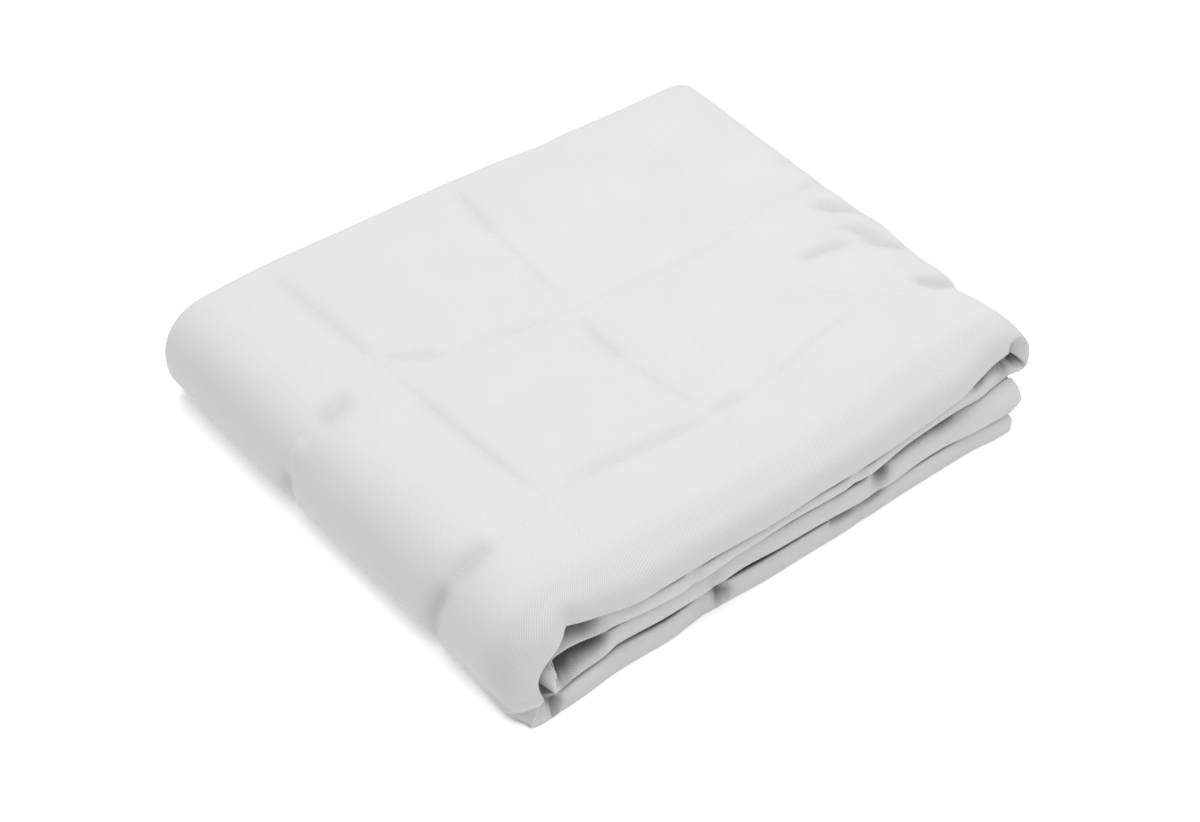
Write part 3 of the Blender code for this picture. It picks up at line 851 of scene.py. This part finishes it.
def wave(tree, vector, way, pitch, inputs):
    """Bands across one way of a map, a pitch apart."""
    return add_node(tree, "TexWave", "Fac", {"Vector": vector, "Scale": math.pi / (10 * pitch)}
                    | inputs, wave_type="BANDS", bands_direction=way, wave_profile="SIN")


def twill_material(look):
    """Brushed cotton twill: diagonal ribs on the cloth's own map, with fine yarn in them.

    Its colour is the cloth's, mottled, times the weave, whose furrows get more painted shade near
    the front edge, and times the painted shade of the hollows.
    """
    material, tree = new_material("pale_twill")
    uv = add_node(tree, "UVMap", "UV", {}, uv_map="Cloth")
    diagonal = add_node(tree, "Mapping", "Vector",
                        {"Vector": uv, "Rotation": (0.0, 0.0, math.radians(45.0))})
    ribs = wave(tree, diagonal, "X", look.twill_pitch,
                {"Distortion": 0.4, "Detail": 1.0, "Detail Scale": 1.5})
    yarn = wave(tree, diagonal, "Y", look.twill_pitch * 0.75, {"Distortion": 0.6})
    weave = add_node(tree, "Mix", "Result", {"Factor": 0.28, "A": ribs, "B": yarn},
                     data_type="FLOAT")
    fuzz = add_node(tree, "TexNoise", "Fac", {"Vector": uv, "Scale": 900.0, "Detail": 2.0})
    bump = add_node(tree, "Bump", "Normal",
                    {"Strength": 1.0, "Distance": look.twill_height, "Height": weave})
    nap = add_node(tree, "Bump", "Normal", {"Strength": 0.25, "Distance": look.twill_height,
                                            "Height": fuzz, "Normal": bump})
    cloud = mottled(tree, look.colour, 0.97, 1.02, {"Vector": uv, "Scale": 22.0, "Detail": 3.0})
    # furrow tone: the weave's own pattern on the top, plus painted shade for grazing light near
    # the front edge
    furrows = by_attribute(tree, "edge", look.twill_tone, look.twill_edge_shade)
    colour = multiplied(tree, furrows, cloud, weave)
    # painted shade between folds, under lips, inside dents and in creases, multiplied into the
    # colour
    colour = multiplied(tree, 1.0, colour, by_attribute(tree, "hollow", 1.0, look.hollow_painted_shade))
    fill(tree, tree.nodes["Principled BSDF"], {
        "Base Color": colour, "Normal": nap, "Roughness": 0.9, "Specular IOR Level": 0.25,
        "Sheen Weight": 0.25, "Sheen Roughness": 0.5})
    return material


def thread_material(look):
    """Polyester thread a shade lighter than the cloth, with a fine twist in its tone."""
    material, tree = new_material("pale_thread")
    place = add_node(tree, "TexCoord", "Object", {})
    tone = mottled(tree, look.thread_colour, 0.92, 1.03, {"Vector": place, "Scale": 2500.0})
    fill(tree, tree.nodes["Principled BSDF"],
         {"Base Color": tone, "Roughness": 0.55, "Sheen Weight": 0.3})
    return material


def floor_material(colour, glow):
    """A matt floor that gives off a little light of its own."""
    material, tree = new_material("floor_white")
    fill(tree, tree.nodes["Principled BSDF"], {
        "Base Color": (*colour, 1.0), "Roughness": 1.0, "Specular IOR Level": 0.0,
        "Emission Color": FLOOR_LIGHT, "Emission Strength": glow})
    return material


# ---------- light and camera

def stand(name, data, place, back):
    """Put a lamp or a camera at a place, with its back to a direction and its top up."""
    thing = bpy.data.objects.new(name, data)
    bpy.context.scene.collection.objects.link(thing)
    right = unit(np.cross((0.0, 0.0, 1.0), back))
    rows = np.stack((right, np.cross(back, right), back, place), axis=1)
    thing.matrix_world = Matrix([*rows.tolist(), (0, 0, 0, 1)])
    return thing


def aim_light(name, place, size, power):
    """A square panel of light that faces the middle of the blanket."""
    light = bpy.data.lights.new(name, "AREA")
    light.size, light.energy = size, power
    stand(name, light, place, unit(np.array(place)))


def add_camera():
    """The camera, a distance from the aim along the azimuth and elevation."""
    camera = bpy.data.cameras.new("photo_camera")
    camera.lens, camera.sensor_width = LENS, SENSOR
    camera.shift_x, camera.shift_y = PICTURE_SHIFT
    back = np.array((math.sin(AZIMUTH) * math.cos(ELEVATION),
                     -math.cos(AZIMUTH) * math.cos(ELEVATION), math.sin(ELEVATION)))
    bpy.context.scene.camera = stand("photo_camera", camera, AIM + back * DISTANCE, back)


# ---------- settings

class BlanketCloth(bpy.types.PropertyGroup):
    """Sizes and colours of the quilted cloth."""

    ply: bpy.props.FloatProperty(
        name="Ply", description="Thickness of the quilted cloth",
        default=0.0057, min=0.003, max=0.012, unit="LENGTH", precision=4)
    pillow: bpy.props.FloatProperty(
        name="Pocket rise", description="Rise of a pocket between its seams",
        default=0.0015, min=0.0, max=0.006, unit="LENGTH", precision=4)
    pillow_reach: bpy.props.FloatProperty(
        name="Pocket roundness", description="Distance from a seam over which a pocket rises",
        default=0.02, min=0.004, max=0.05, unit="LENGTH", precision=4)
    groove: bpy.props.FloatProperty(
        name="Seam depth", description="Depth of a sewn line below the cloth",
        default=0.0003, min=0.0, max=0.003, unit="LENGTH", precision=4)
    groove_half: bpy.props.FloatProperty(
        name="Seam width", description="Half of the width that a seam sinks",
        default=0.0017, min=0.001, max=0.01, unit="LENGTH", precision=4)
    pucker: bpy.props.FloatProperty(
        name="Pucker width", description="Half of the width that a seam's end draws in",
        default=0.006, min=0.001, max=0.02, unit="LENGTH", precision=4)
    colour: bpy.props.FloatVectorProperty(
        name="Cloth colour", description="Colour of the twill", subtype="COLOR",
        default=(0.588, 0.590, 0.600), min=0.0, max=1.0)
    # painted shade: how dark the cloth's colour is made deep between its folds, in dents and in
    # creases
    hollow_painted_shade: bpy.props.FloatProperty(
        name="Hollow tone", description="Tone of the cloth deep between its folds",
        default=0.25, min=0.0, max=1.0, subtype="FACTOR")
    twill_pitch: bpy.props.FloatProperty(
        name="Twill pitch", description="Distance from one rib of the twill to the next",
        default=0.0016, min=0.0005, max=0.006, unit="LENGTH", precision=4)
    twill_height: bpy.props.FloatProperty(
        name="Twill height", description="Height of the twill's ribs",
        default=0.0001, min=0.0, max=0.002, unit="LENGTH", precision=5)
    twill_tone: bpy.props.FloatProperty(
        name="Twill tone", description="How much darker the twill's furrows are on the top",
        default=0.04, min=0.0, max=1.0, subtype="FACTOR")
    # painted shade in the twill's furrows at the front edge, standing in for the grazing light
    # there
    twill_edge_shade: bpy.props.FloatProperty(
        name="Twill tone at the edge", description="The same at the stretched front edge",
        default=0.21, min=0.0, max=1.0, subtype="FACTOR")
    thread_colour: bpy.props.FloatVectorProperty(
        name="Thread colour", description="Colour of the sewing thread", subtype="COLOR",
        default=(0.70, 0.70, 0.71), min=0.0, max=1.0)


class BlanketSewing(bpy.types.PropertyGroup):
    """Sizes of the stitches."""

    stitch: bpy.props.FloatProperty(
        name="Stitch", description="Length of thread that shows",
        default=0.0029, min=0.001, max=0.01, unit="LENGTH", precision=4)
    gap: bpy.props.FloatProperty(
        name="Gap", description="Cloth between two stitches",
        default=0.0009, min=0.0002, max=0.005, unit="LENGTH", precision=4)
    thread: bpy.props.FloatProperty(
        name="Thread", description="Thickness of the sewing thread",
        default=0.00035, min=0.0002, max=0.002, unit="LENGTH", precision=4)


class BlanketStage(bpy.types.PropertyGroup):
    """Floor and light of the studio."""

    floor_colour: bpy.props.FloatVectorProperty(
        name="Floor colour", description="Colour of the floor", subtype="COLOR",
        default=(0.95, 0.95, 0.95), min=0.0, max=1.0)
    glow: bpy.props.FloatProperty(
        name="Floor glow", description="Light that the floor gives off itself",
        default=0.21, min=0.0, max=2.0)
    sky: bpy.props.FloatProperty(
        name="Fill light", description="Strength of the even light from all round",
        default=0.46, min=0.0, max=5.0)
    key: bpy.props.FloatProperty(
        name="Key light", description="Power of the soft light over the blanket",
        default=44.0, min=0.0, max=200.0, unit="POWER")
    side: bpy.props.FloatProperty(
        name="Side light", description="Power of the low light in front of it",
        default=6.6, min=0.0, max=50.0, unit="POWER")



# ---------- operators

class BLANKET_OT_cloth(bpy.types.Operator):
    """Build the folded cloth."""

    bl_idname = "blanket.build_cloth"
    bl_label = "Folded cloth"

    def execute(self, context):
        cloth = context.scene.blanket_cloth
        piece = add_piece(cloth_mesh(cloth), twill_material(cloth))
        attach(piece, "root")
        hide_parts(CAD_NODE)
        return {"FINISHED"}


class BLANKET_OT_sewing(bpy.types.Operator):
    """Build the stitches along the quilting lines."""

    bl_idname = "blanket.build_sewing"
    bl_label = "Stitches"

    def execute(self, context):
        cloth = context.scene.blanket_cloth
        piece = add_piece(stitch_mesh(cloth, context.scene.blanket_sewing),
                          thread_material(cloth))
        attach(piece, "root")
        return {"FINISHED"}


class BLANKET_OT_stage(bpy.types.Operator):
    """Set up the floor, the lights and the camera."""

    bl_idname = "blanket.build_stage"
    bl_label = "Studio"

    def execute(self, context):
        stage = context.scene.blanket_stage
        mesh = bpy.data.meshes.new("studio_floor")
        mesh.from_pydata(FLOOR, [], [(0, 1, 2, 3)])
        floor = add_piece(mesh, floor_material(stage.floor_colour, stage.glow))

        world = bpy.data.worlds.new("studio_fill")
        world.use_nodes = True
        fill(world.node_tree, world.node_tree.nodes["Background"],
             {"Color": SKY_COLOUR, "Strength": stage.sky})
        context.scene.world = world

        aim_light("top_panel", *TOP_PANEL, stage.key)
        aim_light("side_panel", *SIDE_PANEL, stage.side)
        add_camera()
        context.scene.view_settings.view_transform = "Standard"
        return {"FINISHED"}


class BLANKET_PT_panel(bpy.types.Panel):
    """Lists the settings and the steps in the sidebar of the 3D view."""

    bl_idname = "BLANKET_PT_panel"
    bl_label = "Folded blanket"
    bl_space_type = "VIEW_3D"
    bl_region_type = "UI"
    bl_category = "Blanket"

    def draw(self, context):
        for name in GROUPS:
            box, group = self.layout.box(), getattr(context.scene, name)
            for setting in group.__annotations__:
                box.prop(group, setting)
        for operator in OPERATORS:
            self.layout.operator(operator.bl_idname)


GROUPS = {"blanket_cloth": BlanketCloth, "blanket_sewing": BlanketSewing,
          "blanket_stage": BlanketStage}
OPERATORS = (BLANKET_OT_cloth, BLANKET_OT_sewing, BLANKET_OT_stage)
CLASSES = (*GROUPS.values(), *OPERATORS, BLANKET_PT_panel)


def register():
    """Register the classes and hang the settings on the scene."""
    for kind in CLASSES:
        bpy.utils.register_class(kind)
    for name, group in GROUPS.items():
        setattr(bpy.types.Scene, name, bpy.props.PointerProperty(type=group))


def unregister():
    """Take the settings and the classes away again."""
    for name in GROUPS:
        delattr(bpy.types.Scene, name)
    for kind in reversed(CLASSES):
        bpy.utils.unregister_class(kind)


def main():
    register()
    bpy.ops.blanket.build_cloth()
    bpy.ops.blanket.build_sewing()
    bpy.ops.blanket.build_stage()


if __name__ == "__main__":
    main()
